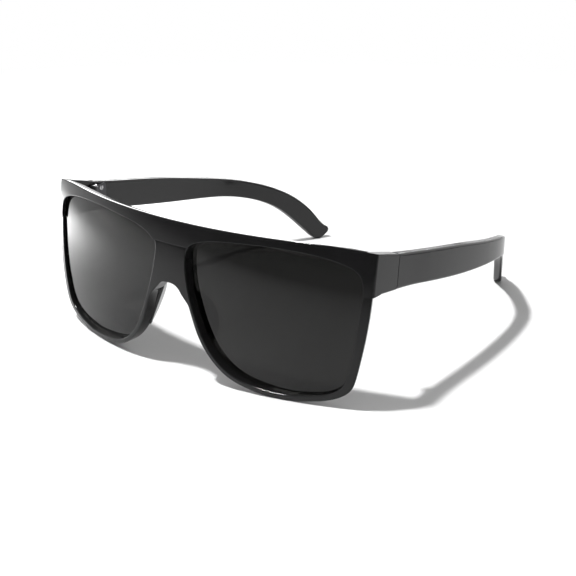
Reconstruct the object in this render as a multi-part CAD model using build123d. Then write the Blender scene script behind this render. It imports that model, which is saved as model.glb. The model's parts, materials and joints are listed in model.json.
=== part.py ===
from build123d import *
import math
import os

# Flat top sunglasses. Millimetres, Z up. The front faces -Y and +X is the wearer's left.
# The glasses stand open on a table, on the two rims and the two temple tips.

# Front
bridge_gap = 14.1          # between the two lens openings, at the bridge plate
lens_width = 62.95         # lens opening, across
lens_height = 51.65        # lens opening, up and down
rim_width = 2.1            # rim below the lens, seen from the front
brow_height = 3.0          # brow bar above the lens opening
corner_margin = 3.6        # brow beyond the lens opening, at the temple side
corner_drop = 1.45         # how far the brow top falls from the middle to the corner
face_radius = 170.0        # spherical curve of the front faces
brow_curve_height = 29.1   # foremost point of the brow bar's curve
rim_curve_height = 21.1    # foremost point of the rims' curve
rim_forward = 0.42         # that point, before the brow bar's
bridge_thickness = 5.4     # front to back, at the middle
corner_thickness = 4.2     # front to back, at the outer corners
bridge_ledge_height = 48.3 # where the brow bar ends above the bridge plate
corner_ledge_height = 40.8 # where the brow bar ends at the outer corner
arch_height = 34.3         # top of the nose arch
edge_round = 0.35          # moulded front edges
back_round = 0.4           # tumbled back edges
corner_round = 1.3         # upright corner between the face and the endpiece
ledge_round_share = 0.5    # brow edges above the rims, of the brow's step at the corner ledge
brow_land = 0.5            # flat top of the brow bar, at the middle
brow_bevel_angle = 22.0    # degrees, the bevel behind that flat falls backwards

# Lenses
lens_thickness = 1.8
lens_curve_radius = 170.0
lens_curve_shift = 5.8     # centre of the lens curve, outwards from the middle plane
lens_curve_height = 22.0   # centre of the lens curve, upwards
lens_setback = 3.2         # lens behind the brow bar's foremost point, at that centre
lens_step = 0.4            # each lens face, down to the thinner edge that sits in the groove
groove_depth = 0.75
lens_fit = 0.08

# Endpieces and the split between front and temple
hinge_line_back = 31.8     # split, behind the brow bar's foremost point
hinge_line_lean = 5.4      # degrees, the top of the split leans back
split_gap = 0.3
split_top_height = 51.8
split_length = 12.3        # top to bottom of the split
wall = 4.0                 # endpiece and temple, inner face to outer face
endpiece_round = 0.7

# Temples
overall_length = 162.3     # the brow bar's foremost point to the temple tips
temple_bow = 0.75          # temple outwards from the split to its widest place
tip_inset = 25.2           # temple tip inwards from the split
tip_wall = 3.4
temple_round = 0.9
core_radius = 0.6
core_bend = 60.0
core_fit = 0.03

# Hinge
hinge_drop = 5.9           # middle of the knuckles, below the top of the split
knuckle_height = 1.6
knuckle_gap = 0.06
knuckle_count = 5
barrel_radius = 1.5
barrel_clearance = 0.3
leaf_thickness = 0.9
leaf_recess = 0.6
leaf_length = 7.0
leaf_corner = 0.8
leaf_fit = 0.04
pin_radius = 0.7
pin_fit = 0.03
pin_head_radius = 1.15
pin_head_height = 0.6
slot_width = 0.3
slot_depth = 0.25

# Leaf screws
screw_radius = 0.5
screw_length = 2.8
screw_head_radius = 0.95
screw_head_height = 0.45
screw_spacing = 4.8
screw_from_axis = 4.6
screw_fit = 0.02

# Nose pads
pad_length = 20.0
pad_depth = 6.2
pad_thickness = 2.0
pad_height = 22.9          # middle of the pad
pad_edge_share = 0.089     # lens opening's edge beside the pad, of lens_width
pad_inset = 0.6            # pad from that edge
pad_tilt = 24.0            # degrees from upright, along the nasal rim
pad_splay = 24.0           # degrees, opening backwards
pad_root = 0.5             # how far the pad follows the rim's rounded back edges
pad_round = 0.7

overrun = 5.0              # how far a cutting or clipping shape runs past what it cuts

# Places that follow from the sizes
inner_x = bridge_gap / 2
outer_x = inner_x + lens_width
lens_low = rim_width
lens_top = lens_low + lens_height
front_height = lens_top + brow_height
corner_height = front_height - corner_drop
corner_x = outer_x + corner_margin
wall_x = corner_x - wall
pad_x = inner_x + pad_edge_share * lens_width - pad_inset - pad_thickness / 2
split_bottom_height = split_top_height - split_length
hinge_height = split_top_height - hinge_drop
temple_reach = overall_length - hinge_line_back
barrel_height = knuckle_count * knuckle_height + (knuckle_count - 1) * knuckle_gap
barrel_low = hinge_height - barrel_height / 2
barrel_top = barrel_low + barrel_height
leaf_back_x = wall_x + leaf_recess
leaf_face_x = leaf_back_x - leaf_thickness
axis_x = leaf_back_x - barrel_radius
pin_y = hinge_line_back

# Lens opening, as shares of its width and height, from the upper nasal corner down and round
opening_shares = [
    (0.000, 0.811), (0.014, 0.680), (0.045, 0.540), (0.099, 0.366), (0.204, 0.157),
    (0.301, 0.066), (0.420, 0.021), (0.587, 0.000), (0.746, 0.020), (0.860, 0.063),
    (0.922, 0.126), (0.954, 0.241), (0.983, 0.463), (0.999, 0.705), (1.000, 0.832),
    (0.973, 0.898), (0.915, 0.939), (0.750, 0.985), (0.521, 1.000), (0.269, 0.985),
    (0.114, 0.955), (0.042, 0.920), (0.010, 0.883),
]
opening_breaks = [4, 8, 12, 16, 20]
# Rim width at each of those points, as shares of rim_width, with none behind the brow bar
rim_shares = [
    0.0, 0.0, 1.05, 0.74, 0.79, 0.86, 0.93, 1.0, 0.99, 1.16, 1.43, 1.42, 1.50, 1.50, 1.50,
    0.0, 0.0, 0.0, 0.0, 0.0, 0.0, 0.0, 0.0,
]
rim_breaks = [3, 7, 11, 15, 19, 23, 27]
# Nose arch: across as shares of inner_x, up as shares of arch_height
arch_shares = [(0.60, 0.965), (0.84, 0.910)]
# Brow top towards the corner: across as shares of corner_x, down as shares of corner_drop
brow_flat_share = 0.76
brow_end_shares = [(0.87, 0.25), (1.0, 1.0)]
wall_drop_share = 0.66     # at the endpiece's inner face

# Temple side view: back as shares of temple_reach, up as shares of split_top_height
temple_top_shares = [
    (0.126, 0.942), (0.344, 0.842), (0.507, 0.755), (0.672, 0.660), (0.780, 0.563),
    (0.889, 0.391),
]
temple_tip_shares = [
    (0.947, 0.234), (0.988, 0.116), (1.000, 0.075), (0.994, 0.046), (0.978, 0.014),
    (0.966, 0.000), (0.952, 0.007), (0.925, 0.062),
]
temple_low_shares = [
    (0.889, 0.157), (0.799, 0.364), (0.672, 0.502), (0.507, 0.573), (0.344, 0.626),
    (0.126, 0.716),
]
temple_side_breaks = [3, 6, 9, 13, 16]
# Temple plan: back as shares of temple_reach, then outwards as shares of temple_bow
temple_bow_shares = [(-0.05, 0.0), (0.0, 0.0), (0.055, 0.15), (0.15, 0.80), (0.344, 1.0)]
# The rest of the plan: back as shares of temple_reach, inwards as shares of tip_inset
temple_plan_shares = [(0.507, 0.020), (0.672, 0.198), (0.780, 0.460), (0.889, 0.734),
                      (1.0, 1.0), (1.06, 1.145)]
temple_plan_breaks = [3, 5, 7, 9]
core_start_share = 0.01
core_shares = [0.344, 0.507, 0.672]


def flip(point):
    """The same point on the other side of the middle plane."""
    return Vector(-point.X, point.Y, point.Z)


def both_sides(half):
    return half + mirror(half, about=Plane.YZ)


def straight_lines(*points):
    return [Line(a, b) for a, b in zip(points, points[1:])]


def smooth_lines(points, breaks, closed=False):
    """One smooth line through the points, as shorter curves that end at the breaks."""
    whole = Spline(*points, periodic=closed)
    points = points + points[:1] if closed else points
    marks = [0] + breaks + [len(points) - 1]
    tangents = [whole.tangent_at(whole.param_at_point(points[m])) for m in marks]
    curves = []
    for i in range(len(marks) - 1):
        stretch = points[marks[i]:marks[i + 1] + 1]
        curves.append(Spline(*stretch, tangents=tangents[i:i + 2]))
    return curves


def ball(radius, x, front, height):
    """A ball whose foremost point is at that height, front behind y = 0."""
    return Pos(x, front + radius, height) * Sphere(radius)


def sagitta(radius, reach):
    return radius - math.sqrt(radius ** 2 - reach ** 2)


back_sag = corner_thickness - bridge_thickness + sagitta(face_radius, corner_x)
back_radius = (corner_x ** 2 + back_sag ** 2) / (2 * back_sag)


def along_y(outline):
    """A closed outline in the XZ plane, extended from the front to the split."""
    face = Pos(0, -overrun, 0) * Face(Wire(outline))
    return extrude(face, amount=hinge_line_back + overrun, dir=(0, 1, 0))


def towards_centre(points, breaks, closing):
    """A solid whose walls run from an outline on the rims' face to the centre of its curve."""
    centre = Vector(0, face_radius - rim_forward, rim_curve_height)
    ends = []
    for y in (-overrun, hinge_line_back):
        moved = []
        for p in points + closing:
            across = math.hypot(p.X, p.Z - centre.Z)
            share = (centre.Y - y) / math.sqrt(face_radius ** 2 - across ** 2)
            moved.append(Vector(p.X * share, y, centre.Z + (p.Z - centre.Z) * share))
        outline = smooth_lines(moved[:len(points)], breaks)
        outline += straight_lines(*moved[len(points) - 1:], moved[0])
        ends.append(Face(Wire(outline)))
    return loft(ends, ruled=True)


def opening_points(distance, shares=None):
    """Points round the lens opening, moved outwards by distance times each point's share."""
    base = [(inner_x + u * lens_width, lens_low + v * lens_height) for u, v in opening_shares]
    shares = shares or [1.0] * len(base)
    points = []
    for i, (x, z) in enumerate(base):
        before = base[i - 1]
        after = base[(i + 1) % len(base)]
        run_x = after[0] - before[0]
        run_z = after[1] - before[1]
        step = distance * shares[i] / math.hypot(run_x, run_z)
        points.append(Vector(x + run_z * step, 0, z - run_x * step))
    return points


def opening_prism(distance=0.0):
    return along_y(smooth_lines(opening_points(distance), opening_breaks, closed=True))


def brow_bar():
    """The bar across the top, down to the ledges over the bridge plate and at the corners."""
    corner = Vector(corner_x, 0, corner_ledge_height)
    inside = Vector(outer_x - corner_margin, 0, corner_ledge_height)
    ledge = Vector(inner_x + brow_height, 0, bridge_ledge_height)
    start = Vector(brow_flat_share * corner_x, 0, front_height)
    ends = [Vector(u * corner_x, 0, front_height - v * corner_drop) for u, v in brow_end_shares]
    fall = ends[-1] - ends[0]
    outline = [
        Line(flip(start), start),
        Spline(start, *ends, tangents=[(1, 0, 0), fall]),
        *straight_lines(ends[-1], corner, inside, ledge,
                        flip(ledge), flip(inside), flip(corner), flip(ends[-1])),
        Spline(flip(start), *[flip(p) for p in ends], tangents=[(-1, 0, 0), flip(fall)]),
    ]
    return along_y(outline) & ball(face_radius, 0, 0, brow_curve_height)


def rims():
    """Both rims and the bridge plate, set back behind the brow bar."""
    outset = opening_points(rim_width, rim_shares)
    right = [Vector(u * inner_x, 0, v * arch_height) for u, v in arch_shares]
    right += [p for p, share in zip(outset, rim_shares) if share > 0]
    left = [flip(p) for p in reversed(right)]
    crown = Vector(0, 0, arch_height)
    corner = Vector(right[-1].X, 0, (bridge_ledge_height + lens_top) / 2)
    solid = towards_centre([*left, crown, *right], rim_breaks, [corner, flip(corner)])
    return solid & ball(face_radius, 0, -rim_forward, rim_curve_height)


def split_point(x, height, offset=0.0):
    """A point on the leaning split between endpiece and temple, offset backwards."""
    lean = math.tan(math.radians(hinge_line_lean))
    return Vector(x, hinge_line_back + (height - hinge_height) * lean + offset, height)


def endpiece_start(height):
    """A point on the inner face of the endpiece, just behind the rounded corner."""
    reach = math.hypot(corner_x, corner_height - brow_curve_height)
    return Vector(wall_x, sagitta(face_radius, reach) + corner_round, height)


def endpiece():
    """The arm of the front that wraps back to the split."""
    side = [
        endpiece_start(corner_height - edge_round),
        split_point(wall_x, split_top_height),
        split_point(wall_x, split_bottom_height),
        endpiece_start(corner_ledge_height),
    ]
    arm = extrude(Face(Wire(Polyline(*side, close=True))), amount=wall, dir=(1, 0, 0))
    outer = [e for e in arm.edges() if e.center().X > corner_x - edge_round]
    return fillet([e for e in outer if abs(e.tangent_at(0.5).Y) > 0.9], endpiece_round)


def corner_trim():
    """The space over the line of the endpiece's top, which the brow bar's corner follows."""
    start = endpiece_start(corner_height - edge_round)
    end = split_point(wall_x, split_top_height)
    front = start - (end - start).normalized() * overrun
    lift = Vector(0, 0, overrun)
    side = Face(Wire(Polyline(front, end, end + lift, front + lift, close=True)))
    return extrude(side, amount=wall + overrun, dir=(1, 0, 0))


def spherical_faces(shape):
    """The large faces of a front, front faces first, the rims before the brow bar."""
    faces = [f for f in shape.faces() if f.geom_type == GeomType.SPHERE]
    faces = sorted(faces, key=lambda f: -f.area)[:3]
    back = max(faces, key=lambda f: f.center().Y)
    fronts = [f for f in faces if f.center().Y < back.center().Y]
    return sorted(fronts, key=lambda f: f.center().Z) + [back]


def brow_bevel():
    """The space over the bevel, which falls backwards behind the brow bar's flat top."""
    slope = math.tan(math.radians(brow_bevel_angle))
    top = [(0.0, 0.0), (brow_flat_share / 2, 0.0), (brow_flat_share, 0.0)]
    left = []
    right = []
    for u, v in top + brow_end_shares[:1] + [(wall_x / corner_x, wall_drop_share)]:
        x = u * corner_x
        z = front_height - v * corner_drop
        reach = math.hypot(x, z - brow_curve_height)
        y = sagitta(face_radius, reach) + edge_round + brow_land
        before = Vector(x, y - overrun, z + overrun * slope)
        behind = Vector(x, y + overrun * 2, z - overrun * 2 * slope)
        over = front_height + overrun
        outline = [before, behind, Vector(x, behind.Y, over), Vector(x, before.Y, over)]
        right.append(Face(Wire(Polyline(*outline, close=True))))
        left.append(Face(Wire(Polyline(*[flip(p) for p in outline], close=True))))
    return loft(left[:0:-1] + right)


def front_shell():
    """The front as moulded, before the hinge pockets."""
    shell = brow_bar() + rims() - both_sides(opening_prism())
    back_ball = ball(back_radius, 0, bridge_thickness - rim_forward, rim_curve_height)
    shell = shell - back_ball
    back = spherical_faces(shell)[-1]
    round_edges = [e for e in back.outer_wire().edges() if e.center().Z < corner_ledge_height - edge_round]
    for hole in back.inner_wires():
        round_edges += hole.edges()
    shell = fillet(round_edges, back_round)
    shell = shell + both_sides(endpiece())
    return shell


def upright(edge):
    return abs(edge.tangent_at(0.5).Z) > 0.9


def corner_step():
    """How far the brow bar stands before the rim, beside the lens at the corner ledge."""
    brow = math.hypot(outer_x, corner_ledge_height - brow_curve_height)
    rim = math.hypot(outer_x, corner_ledge_height - rim_curve_height)
    return sagitta(face_radius, rim) - rim_forward - sagitta(face_radius, brow)


def round_front(shell):
    """Rounds the corners between face and endpieces, then the edges of the front faces."""
    rim, brow, back = spherical_faces(shell)
    corners = [e for e in brow.edges() if upright(e) and abs(e.center().X) > corner_x - edge_round]
    shell = fillet(corners, corner_round)
    rim, brow, back = spherical_faces(shell)
    over_rims = []
    for e in brow.edges():
        lower = corner_ledge_height + edge_round < e.center().Z < corner_height - edge_round
        if lower and abs(e.center().X) < outer_x:
            over_rims.append(e)
    shell = fillet(over_rims, min(edge_round, ledge_round_share * corner_step()))
    rim, brow, back = spherical_faces(shell)
    edges = [e for e in brow.edges() if e.center().Z > corner_height - edge_round]
    for e in rim.edges():
        above = e.center().Z > bridge_ledge_height - edge_round
        beside = abs(e.center().X) > outer_x and abs(e.center().Z - corner_ledge_height) < edge_round
        if not above and not beside:
            edges.append(e)
    return fillet(edges, edge_round)


def lens_shell(margin, inset):
    """A lens, its outline moved out by margin and each of its faces moved in by inset."""
    outer = ball(lens_curve_radius - inset, lens_curve_shift, lens_setback + inset,
                 lens_curve_height)
    inner = ball(lens_curve_radius - lens_thickness + inset, lens_curve_shift,
                 lens_setback + lens_thickness - inset, lens_curve_height)
    return (opening_prism(margin) & outer) - inner


def at_pin(low, height, radius):
    """An upright cylinder about the hinge pin."""
    cylinder = Cylinder(radius, height, align=(Align.CENTER, Align.CENTER, Align.MIN))
    return Pos(axis_x, pin_y, low) * cylinder


def block(x0, x1, y0, y1, z0, z1):
    box = Box(x1 - x0, y1 - y0, z1 - z0, align=(Align.MIN, Align.MIN, Align.MIN))
    return Pos(x0, y0, z0) * box


def knuckle_low(index):
    return barrel_low + index * (knuckle_height + knuckle_gap)


def leaf_plate(direction, start, margin=0.0):
    """The flat of a leaf, in front of the pin (direction -1) or behind it (direction 1)."""
    near = pin_y + direction * start
    far = pin_y + direction * (leaf_length + margin)
    plate = block(leaf_face_x, leaf_back_x, min(near, far), max(near, far),
                  barrel_low - margin, barrel_top + margin)
    ends = [e for e in plate.edges() if abs(e.tangent_at(0.5).X) > 0.9]
    ends = [e for e in ends if abs(e.center().Y - far) < leaf_corner]
    return fillet(ends, leaf_corner + margin)


def screw_heights():
    return [hinge_height - screw_spacing / 2, hinge_height + screw_spacing / 2]


def leaf_screw(direction, height, margin=0.0):
    """A countersunk screw, driven outwards through a leaf into the plastic."""
    shank = Cylinder(screw_radius + margin, screw_length + margin,
                     align=(Align.CENTER, Align.CENTER, Align.MIN))
    head = Cone(screw_head_radius + margin, screw_radius + margin, screw_head_height,
                align=(Align.CENTER, Align.CENTER, Align.MIN))
    place = Pos(leaf_face_x, pin_y + direction * screw_from_axis, height) * Rot(0, 90, 0)
    return place * (shank + head)


def leaf_screws(direction):
    slot = block(leaf_face_x - overrun, leaf_face_x + slot_depth,
                 -slot_width / 2, slot_width / 2, -screw_head_radius, screw_head_radius)
    screws = []
    for height in screw_heights():
        cut = Pos(0, pin_y + direction * screw_from_axis, height) * slot
        screws.append(leaf_screw(direction, height) - cut)
    return Compound([s.solid() for s in screws])


def hinge_leaf(direction, knuckles):
    """A leaf with its knuckles, bored for the pin and for its two screws."""
    leaf = leaf_plate(direction, barrel_radius + barrel_clearance)
    for index in knuckles:
        low = knuckle_low(index)
        neck = block(leaf_face_x, leaf_back_x, min(pin_y, pin_y + direction * leaf_length / 2),
                     max(pin_y, pin_y + direction * leaf_length / 2), low, low + knuckle_height)
        leaf = leaf + at_pin(low, knuckle_height, barrel_radius) + neck
    leaf = leaf - at_pin(barrel_low - overrun, barrel_height + overrun * 2, pin_radius + pin_fit)
    for height in screw_heights():
        leaf = leaf - leaf_screw(direction, height, screw_fit)
    return leaf


def hinge_screw():
    """The pin with its slotted head, on top of the knuckles."""
    pin = at_pin(barrel_low, barrel_height, pin_radius)
    head = at_pin(barrel_top, pin_head_height, pin_head_radius)
    head_top = barrel_top + pin_head_height
    slot = block(axis_x - pin_head_radius, axis_x + pin_head_radius,
                 pin_y - slot_width / 2, pin_y + slot_width / 2,
                 head_top - slot_depth, head_top + overrun)
    rim = head.edges().group_by(Axis.Z)[-1]
    return pin + fillet(rim, pin_head_height / 3) - slot


def hinge_pocket(direction):
    """Room for the knuckles, the leaf and its screws in the plastic beside the pin."""
    pocket = at_pin(barrel_low - barrel_clearance,
                    barrel_height + pin_head_height + barrel_clearance * 2,
                    barrel_radius + barrel_clearance)
    pocket = pocket + leaf_plate(direction, 0.0, leaf_fit)
    for height in screw_heights():
        pocket = pocket + leaf_screw(direction, height, screw_fit)
    return pocket


def front_frame():
    frame = round_front(front_shell()) - brow_bevel() - both_sides(corner_trim())
    frame = frame - both_sides(lens_shell(-lens_fit / 2, -lens_fit))
    frame = frame - both_sides(lens_shell(groove_depth, lens_step - lens_fit))
    return frame - both_sides(hinge_pocket(-1))


def lens():
    """A lens that fills the opening, with a thinner edge in the groove."""
    return lens_shell(-lens_fit, 0.0) + lens_shell(groove_depth - lens_fit, lens_step)


def nose_pad():
    """A half-moon pad that opens backwards, with a root that reaches into the rim."""
    tilt = math.radians(pad_tilt)
    splay = math.radians(pad_splay)
    along = Vector(-math.sin(tilt), 0, math.cos(tilt))
    out = Vector(math.cos(tilt), 0, math.sin(tilt))
    away = Vector(0, 1, 0) * math.cos(splay) + out * math.sin(splay)
    half = pad_length / 2
    root_y = bridge_thickness - rim_forward + sagitta(back_radius, pad_x)
    place = Plane(origin=(pad_x, root_y, pad_height), x_dir=along, z_dir=along.cross(away))
    moon = [
        Line((-half, -pad_root), (half, -pad_root)),
        Line((half, -pad_root), (half, 0)),
        ThreePointArc((half, 0), (0, pad_depth), (-half, 0)),
        Line((-half, 0), (-half, -pad_root)),
    ]
    pad = place * extrude(Face(Wire(moon)), amount=pad_thickness / 2, both=True)
    arcs = [e for e in pad.edges() if e.geom_type == GeomType.CIRCLE]
    return fillet(arcs, pad_round)


def seated(pad, frame):
    """The pad without its root, so that it follows the rim's rounded back."""
    return max((pad - frame).solids(), key=lambda s: s.volume)


def temple_y(share):
    return hinge_line_back + share * temple_reach


def temple_plan_points():
    """The outer face in plan, from before the split to beyond the tip."""
    points = [Vector(corner_x + v * temple_bow, temple_y(u), 0) for u, v in temple_bow_shares]
    points += [Vector(corner_x - v * tip_inset, temple_y(u), 0) for u, v in temple_plan_shares]
    return points


def inwards(points, amount):
    """The points moved towards the wearer, square to the line through them."""
    line = Spline(*points)
    moved = []
    for i, p in enumerate(points):
        along = line.tangent_at(line.param_at_point(p))
        share = i / (len(points) - 1)
        thickness = (wall + (tip_wall - wall) * share) * amount
        moved.append(p + Vector(-along.Y, along.X, 0) * thickness)
    return moved


def temple_blank():
    side_shares = temple_top_shares + temple_tip_shares + temple_low_shares
    side = [Vector(0, temple_y(u), v * split_top_height) for u, v in side_shares]
    start = split_point(0, split_top_height, split_gap)
    end = split_point(0, split_bottom_height, split_gap)
    outline = smooth_lines([start, *side, end], temple_side_breaks) + [Line(end, start)]
    slab = extrude(Face(Wire(outline)), amount=corner_x + overrun, dir=(1, 0, 0))
    outer = temple_plan_points()
    inner = inwards(outer, 1.0)
    plan = smooth_lines(outer, temple_plan_breaks) + [Line(outer[-1], inner[-1])]
    plan += smooth_lines(inner, temple_plan_breaks) + [Line(outer[0], inner[0])]
    band = extrude(Face(Wire(plan)), amount=front_height + overrun, dir=(0, 0, 1))
    blank = slab & (Pos(0, 0, -overrun) * band)
    edges = [e for e in blank.edges() if e.geom_type != GeomType.LINE]
    edges = [e for e in edges if e.bounding_box().max.Y > hinge_line_back + overrun]
    tip_y = overall_length - tip_wall
    edges = [e for e in edges if not upright(e) or e.center().Y > tip_y]
    return fillet(edges, temple_round)


def core_points():
    """The middle of the temple, from the split to the start of the ear hook."""
    tops = dict(temple_top_shares)
    lows = dict(temple_low_shares)
    plan = temple_plan_points()
    middle = inwards(plan, 0.5)
    y_shares = [u for u, v in temple_bow_shares] + [u for u, v in temple_plan_shares]
    points = []
    for share in core_shares:
        place = middle[y_shares.index(share)]
        height = (tops[share] + lows[share]) / 2 * split_top_height
        points.append(Vector(place.X, place.Y, height))
    start = Vector(corner_x - wall / 2, temple_y(core_start_share), hinge_height)
    return [start] + points


def core_wire(radius, extra=0.0):
    """A round wire through the core points, started early by extra."""
    points = core_points()
    run = (points[1] - points[0]).normalized()
    points[0] = points[0] - run * extra
    path = FilletPolyline(*points, radius=core_bend)
    section = Plane(origin=points[0], z_dir=run) * Circle(radius)
    return sweep(section, path=path)


def temple():
    arm = temple_blank() - hinge_pocket(1)
    return arm - core_wire(core_radius + core_fit, overrun)


def main():
    os.makedirs("parts", exist_ok=True)
    frame = front_frame()
    left = {
        "lens": lens(),
        "nose_pad": nose_pad(),
        "temple": temple(),
        "temple_core": core_wire(core_radius),
        "front_hinge_leaf": hinge_leaf(-1, range(0, knuckle_count, 2)),
        "temple_hinge_leaf": hinge_leaf(1, range(1, knuckle_count, 2)),
        "hinge_screw": hinge_screw(),
        "front_leaf_screws": leaf_screws(-1),
        "temple_leaf_screws": leaf_screws(1),
    }
    # The origin is under the middle of the whole, on the table
    ends = frame.bounding_box().min.Y + left["temple"].bounding_box().max.Y
    centred = Pos(0, -ends / 2, 0)
    export_step(centred * frame, "parts/front_frame.step")
    for name, shape in left.items():
        pair = {"left": shape, "right": mirror(shape, about=Plane.YZ)}
        for side, piece in pair.items():
            if name == "nose_pad":
                piece = seated(piece, frame)
            export_step(centred * piece, "parts/" + name + "_" + side + ".step")


main()
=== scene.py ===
import json
import math

import bpy
from mathutils import Matrix, Vector

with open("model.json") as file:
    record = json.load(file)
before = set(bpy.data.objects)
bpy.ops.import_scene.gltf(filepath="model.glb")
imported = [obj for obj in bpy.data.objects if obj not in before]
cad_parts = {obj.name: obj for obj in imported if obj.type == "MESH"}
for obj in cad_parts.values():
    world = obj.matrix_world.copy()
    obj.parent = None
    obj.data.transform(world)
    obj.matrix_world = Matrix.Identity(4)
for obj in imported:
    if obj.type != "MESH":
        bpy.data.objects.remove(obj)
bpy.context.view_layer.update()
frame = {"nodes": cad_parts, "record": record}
nodes = frame["nodes"]

# Camera, solved from the photograph: its place in metres, its axes, and its lens in millimetres
EYE = Vector((0.251853, -0.345951, 0.171002))
RIGHT = Vector((0.79721, 0.603668, 0.006232))
UP = Vector((-0.21964, 0.280410, 0.934414))
BACK = Vector((0.56233, -0.746296, 0.356135))
SENSOR_WIDTH = 36.0
FOCAL_LENGTH = 69.77
CLIP_START = 0.01

# Plastic of the frame and of the lenses. Noises are (scale per metre, detail)
PLASTIC_IOR = 1.46
TONE_NOISE = (60.0, 3.0)
TONE_STOPS = (0.3, 0.7)
TONE_DARK = 0.85
TONE_PALE = 1.15
HAZE_NOISE = (140.0, 4.0)
HAZE_LOW = 0.8
HAZE_HIGH = 1.2
WAVE_NOISE = (45.0, 1.0)
WAVE_STRENGTH = 0.08
WAVE_HEIGHT = 0.0004
LENS_DARK = (0.011, 0.011, 0.0105)
LENS_LIGHT = (0.014, 0.014, 0.0135)
LENS_ROUGHNESS = 0.02
LENS_NOISE = (30.0, 2.0)

# Metal of the hinges, the screws and the core wires
GRAIN_DETAIL = 5.0
GRAIN_DARK = 0.8
GRAIN_LOW = 0.7
GRAIN_HIGH = 1.3

FLOOR_SIZE = 8.0
FLOOR_COLOR = (0.80, 0.80, 0.80)

# How pale glossy surfaces see the floor, a painted pool of light and painted shade that no lamp
# casts: LIT_FLOOR up to
# LIT_REACH from LIT_PLACE, a place behind the object as the camera sees it, and DIM_FLOOR from
# DIM_REACH on
LIT_PLACE = (-0.35, 0.35, 0.0)
LIT_REACH = 0.56
DIM_REACH = 0.85
LIT_FLOOR = 0.82
DIM_FLOOR = 0.11

# Distances from the object between which the floor that the camera sees turns plain white
FADE_START = 0.30
FADE_END = 0.60

# The world lights the object with WORLD_FILL. Glossy surfaces see it white on the bright side, and
# DIM_WORLD strong on the camera's side. DIM_FROM and WHITE_FROM are cosines to the bright side
WORLD_FILL = 0.33
DIM_WORLD = 0.12
BRIGHT_SIDE = (-0.64, 0.77, 0.0)
DIM_FROM = -0.8
WHITE_FROM = 0.0

# Lamps: place, size and target in metres, power in watts, spread in degrees
KEY = {"place": (-0.25, -0.40, 1.27), "size": (0.09, 0.09), "power": 15.0,
       "spread": 180.0, "target": (0.0, 0.0, 0.0)}
BACK_PANEL = {"place": (-0.88, 1.12, 0.46), "size": (0.90, 0.50), "power": 11.5,
              "spread": 180.0, "target": (0.0, 0.0, 0.03)}
LEFT_PANEL = {"place": (-0.24, -0.02, 0.10), "size": (0.10, 0.10), "power": 0.9,
              "spread": 115.0, "target": (-0.24, -0.02, 0.0)}
FLOOR_KEY_POWER = 5.0

# The float sockets of a Mix node, whose names repeat
MIX_FACTOR = 0
MIX_A = 2
MIX_B = 3


def new_material(name):
    material = bpy.data.materials.new(name)
    material.use_nodes = True
    tree = material.node_tree
    tree.nodes.clear()
    output = tree.nodes.new("ShaderNodeOutputMaterial")
    return material, tree, output


def set_inputs(node, values):
    for name, value in values.items():
        node.inputs[name].default_value = value


def principled_material(name, values):
    """A new material of one Principled shader, with values set on its sockets."""
    material, tree, output = new_material(name)
    shader = tree.nodes.new("ShaderNodeBsdfPrincipled")
    set_inputs(shader, values)
    tree.links.new(shader.outputs["BSDF"], output.inputs["Surface"])
    return material, tree, shader


def noise(tree, scale, detail):
    """Noise from 0 to 1 in the object's own coordinates."""
    coords = tree.nodes.new("ShaderNodeTexCoord")
    texture = tree.nodes.new("ShaderNodeTexNoise")
    set_inputs(texture, {"Scale": scale, "Detail": detail})
    tree.links.new(coords.outputs["Object"], texture.inputs["Vector"])
    return texture.outputs["Fac"]


def remap(tree, source, low, high, start=0.0, end=1.0):
    """A number that goes from low to high while source goes from start to end."""
    node = tree.nodes.new("ShaderNodeMapRange")
    set_inputs(node, {"From Min": start, "From Max": end, "To Min": low, "To Max": high})
    tree.links.new(source, node.inputs["Value"])
    return node.outputs["Result"]


def color_ramp(tree, source, low, high, start=0.0, end=1.0):
    """A colour that goes from low to high while source goes from start to end."""
    node = tree.nodes.new("ShaderNodeValToRGB")
    elements = node.color_ramp.elements
    elements[0].position = start
    elements[0].color = (*low, 1.0)
    elements[1].position = end
    elements[1].color = (*high, 1.0)
    tree.links.new(source, node.inputs["Fac"])
    return node.outputs["Color"]


def scaled(color, factor):
    return tuple(channel * factor for channel in color)


def plastic(name, color, roughness):
    """Polished injection-moulded plastic, with faint flow waves and polishing haze."""
    material, tree, shader = principled_material(name, {"IOR": PLASTIC_IOR})
    dark, pale = scaled(color, TONE_DARK), scaled(color, TONE_PALE)
    tone = color_ramp(tree, noise(tree, *TONE_NOISE), dark, pale, *TONE_STOPS)
    tree.links.new(tone, shader.inputs["Base Color"])
    haze = remap(tree, noise(tree, *HAZE_NOISE), roughness * HAZE_LOW, roughness * HAZE_HIGH)
    tree.links.new(haze, shader.inputs["Roughness"])
    bump = tree.nodes.new("ShaderNodeBump")
    set_inputs(bump, {"Strength": WAVE_STRENGTH, "Distance": WAVE_HEIGHT})
    tree.links.new(noise(tree, *WAVE_NOISE), bump.inputs["Height"])
    tree.links.new(bump.outputs["Normal"], shader.inputs["Normal"])
    return material


def tinted_glass(name):
    """Dark see-through lens plastic."""
    values = {"IOR": PLASTIC_IOR, "Transmission Weight": 1.0, "Roughness": LENS_ROUGHNESS}
    material, tree, shader = principled_material(name, values)
    tint = color_ramp(tree, noise(tree, *LENS_NOISE), LENS_DARK, LENS_LIGHT)
    tree.links.new(tint, shader.inputs["Base Color"])
    return material


def metal(name, color, roughness, scale):
    """Metal with a fine grain that varies its colour and roughness."""
    material, tree, shader = principled_material(name, {"Metallic": 1.0})
    grain = noise(tree, scale, GRAIN_DETAIL)
    tone = color_ramp(tree, grain, scaled(color, GRAIN_DARK), color)
    tree.links.new(tone, shader.inputs["Base Color"])
    shine = remap(tree, grain, roughness * GRAIN_LOW, roughness * GRAIN_HIGH)
    tree.links.new(shine, shader.inputs["Roughness"])
    return material


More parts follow.
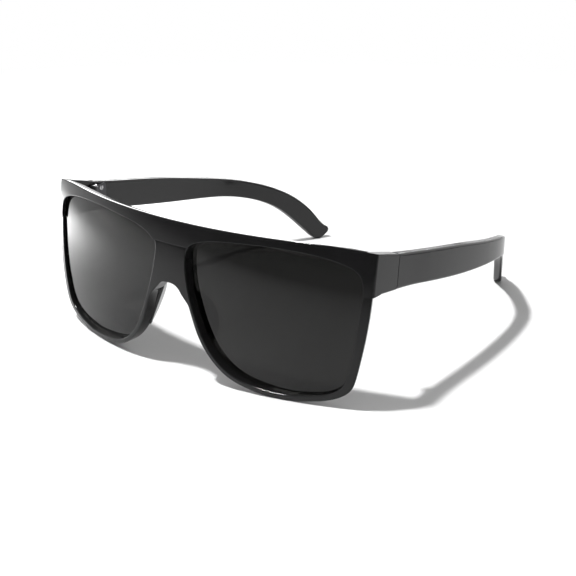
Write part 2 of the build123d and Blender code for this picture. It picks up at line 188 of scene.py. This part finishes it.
def math_node(tree, operation, first, second):
    node = tree.nodes.new("ShaderNodeMath")
    node.operation = operation
    tree.links.new(first, node.inputs[0])
    tree.links.new(second, node.inputs[1])
    return node.outputs[0]


def vector_measure(tree, operation, source, other=(0.0, 0.0, 0.0)):
    """A number from the vector source, such as its distance to other."""
    node = tree.nodes.new("ShaderNodeVectorMath")
    node.operation = operation
    node.inputs[1].default_value = other
    tree.links.new(source, node.inputs[0])
    return node.outputs["Value"]


def seen_directly(tree, path):
    """1 for a ray from the camera or through a lens, and 0 for any other ray."""
    camera_ray = path.outputs["Is Camera Ray"]
    return math_node(tree, "MAXIMUM", camera_ray, path.outputs["Is Transmission Ray"])


def glossy_switch(tree, path, glossy):
    """A Mix node that gives glossy to glossy rays and its input A to all others."""
    node = tree.nodes.new("ShaderNodeMix")
    node.data_type = "FLOAT"
    tree.links.new(path.outputs["Is Glossy Ray"], node.inputs[MIX_FACTOR])
    tree.links.new(glossy, node.inputs[MIX_B])
    return node


def floor_material():
    """A pale diffuse floor, white far from the object, with a painted pool of light at one place that
    only glossy surfaces see.
    """
    material, tree, output = new_material("floor_look")
    place = tree.nodes.new("ShaderNodeTexCoord").outputs["Object"]
    path = tree.nodes.new("ShaderNodeLightPath")

    # Painted reflection: for glossy rays the floor colour is scaled from LIT_FLOOR near LIT_PLACE
    # down to DIM_FLOOR, painted light and shade
    off_lit = vector_measure(tree, "DISTANCE", place, LIT_PLACE)
    dim = remap(tree, off_lit, LIT_FLOOR, DIM_FLOOR, LIT_REACH, DIM_REACH)
    shade = glossy_switch(tree, path, dim)
    shade.inputs[MIX_A].default_value = 1.0
    color = tree.nodes.new("ShaderNodeVectorMath")
    color.operation = "SCALE"
    color.inputs[0].default_value = FLOOR_COLOR
    tree.links.new(shade.outputs[0], color.inputs["Scale"])
    diffuse = tree.nodes.new("ShaderNodeBsdfDiffuse")
    tree.links.new(color.outputs[0], diffuse.inputs["Color"])

    off_object = vector_measure(tree, "LENGTH", place)
    fade = remap(tree, off_object, 0.0, 1.0, FADE_START, FADE_END)
    fade = math_node(tree, "MULTIPLY", fade, seen_directly(tree, path))
    white = tree.nodes.new("ShaderNodeEmission")
    blend = tree.nodes.new("ShaderNodeMixShader")
    tree.links.new(fade, blend.inputs[0])
    tree.links.new(diffuse.outputs[0], blend.inputs[1])
    tree.links.new(white.outputs[0], blend.inputs[2])
    tree.links.new(blend.outputs[0], output.inputs["Surface"])
    return material


def make_floor():
    mesh = bpy.data.meshes.new("floor")
    half = FLOOR_SIZE / 2
    corners = [(-half, -half, 0), (half, -half, 0), (half, half, 0), (-half, half, 0)]
    mesh.from_pydata(corners, [], [(0, 1, 2, 3)])
    mesh.materials.append(floor_material())
    floor = bpy.data.objects.new("floor", mesh)
    bpy.context.scene.collection.objects.link(floor)
    return floor


def make_world():
    """A white room for the camera, and a dimmer one for the light and the reflections."""
    world = bpy.data.worlds.new("studio")
    bpy.context.scene.world = world
    world.use_nodes = True
    tree = world.node_tree
    background = tree.nodes["Background"]
    background.inputs["Color"].default_value = (1.0, 1.0, 1.0, 1.0)
    path = tree.nodes.new("ShaderNodeLightPath")
    direction = tree.nodes.new("ShaderNodeTexCoord").outputs["Generated"]
    side = vector_measure(tree, "DOT_PRODUCT", direction, BRIGHT_SIDE)
    room = remap(tree, side, DIM_WORLD, 1.0, DIM_FROM, WHITE_FROM)
    plain = remap(tree, seen_directly(tree, path), WORLD_FILL, 1.0)
    strength = glossy_switch(tree, path, room)
    tree.links.new(plain, strength.inputs[MIX_A])
    tree.links.new(strength.outputs[0], background.inputs["Strength"])


def area_light(name, place, size, power, spread, target):
    """A rectangular lamp that the camera doesn't see."""
    data = bpy.data.lights.new(name, "AREA")
    data.shape = "RECTANGLE"
    data.size, data.size_y = size
    data.energy = power
    data.spread = math.radians(spread)
    lamp = bpy.data.objects.new(name, data)
    lamp.location = place
    direction = Vector(target) - Vector(place)
    lamp.rotation_euler = direction.to_track_quat("-Z", "Y").to_euler()
    lamp.visible_camera = False
    bpy.context.scene.collection.objects.link(lamp)
    return lamp


def make_lamps(floor):
    area_light("key", **KEY)
    area_light("back_panel", **BACK_PANEL)
    # A small lamp close over the floor left of the object, which shows in no reflection
    left_panel = area_light("left_panel", **LEFT_PANEL)
    left_panel.visible_glossy = False
    # The floor alone gets more of the key, so that only the core of a soft shadow shows
    floor_key = area_light("floor_key", **{**KEY, "power": FLOOR_KEY_POWER})
    floor_only = bpy.data.collections.new("floor_only")
    floor_only.objects.link(floor)
    floor_key.light_linking.receiver_collection = floor_only


def make_camera():
    data = bpy.data.cameras.new("camera")
    data.sensor_fit = "HORIZONTAL"
    data.sensor_width = SENSOR_WIDTH
    data.lens = FOCAL_LENGTH
    data.clip_start = CLIP_START
    camera = bpy.data.objects.new("camera", data)
    turn = Matrix((RIGHT, UP, BACK)).transposed()
    camera.matrix_world = Matrix.Translation(EYE) @ turn.to_4x4()
    bpy.context.scene.collection.objects.link(camera)
    bpy.context.scene.camera = camera


MATERIALS = {
    "black_plastic": plastic("black_plastic_look", color=(0.0085, 0.0085, 0.0088), roughness=0.10),
    "tinted_lens": tinted_glass("tinted_lens_look"),
    "hinge_metal": metal("hinge_metal_look", color=(0.10, 0.10, 0.105), roughness=0.35, scale=900.0),
    "screw_metal": metal("screw_metal_look", color=(0.62, 0.62, 0.63), roughness=0.25, scale=1500.0),
    "steel_wire": metal("steel_wire_look", color=(0.60, 0.60, 0.60), roughness=0.4, scale=1200.0),
}

for part in frame["record"]["subparts"]:
    look = MATERIALS[part["material_slot"]]
    for slot in nodes[part["node"]].material_slots:
        slot.material = look

floor = make_floor()
make_world()
make_lamps(floor)
make_camera()

view = bpy.context.scene.view_settings
view.view_transform = "Standard"
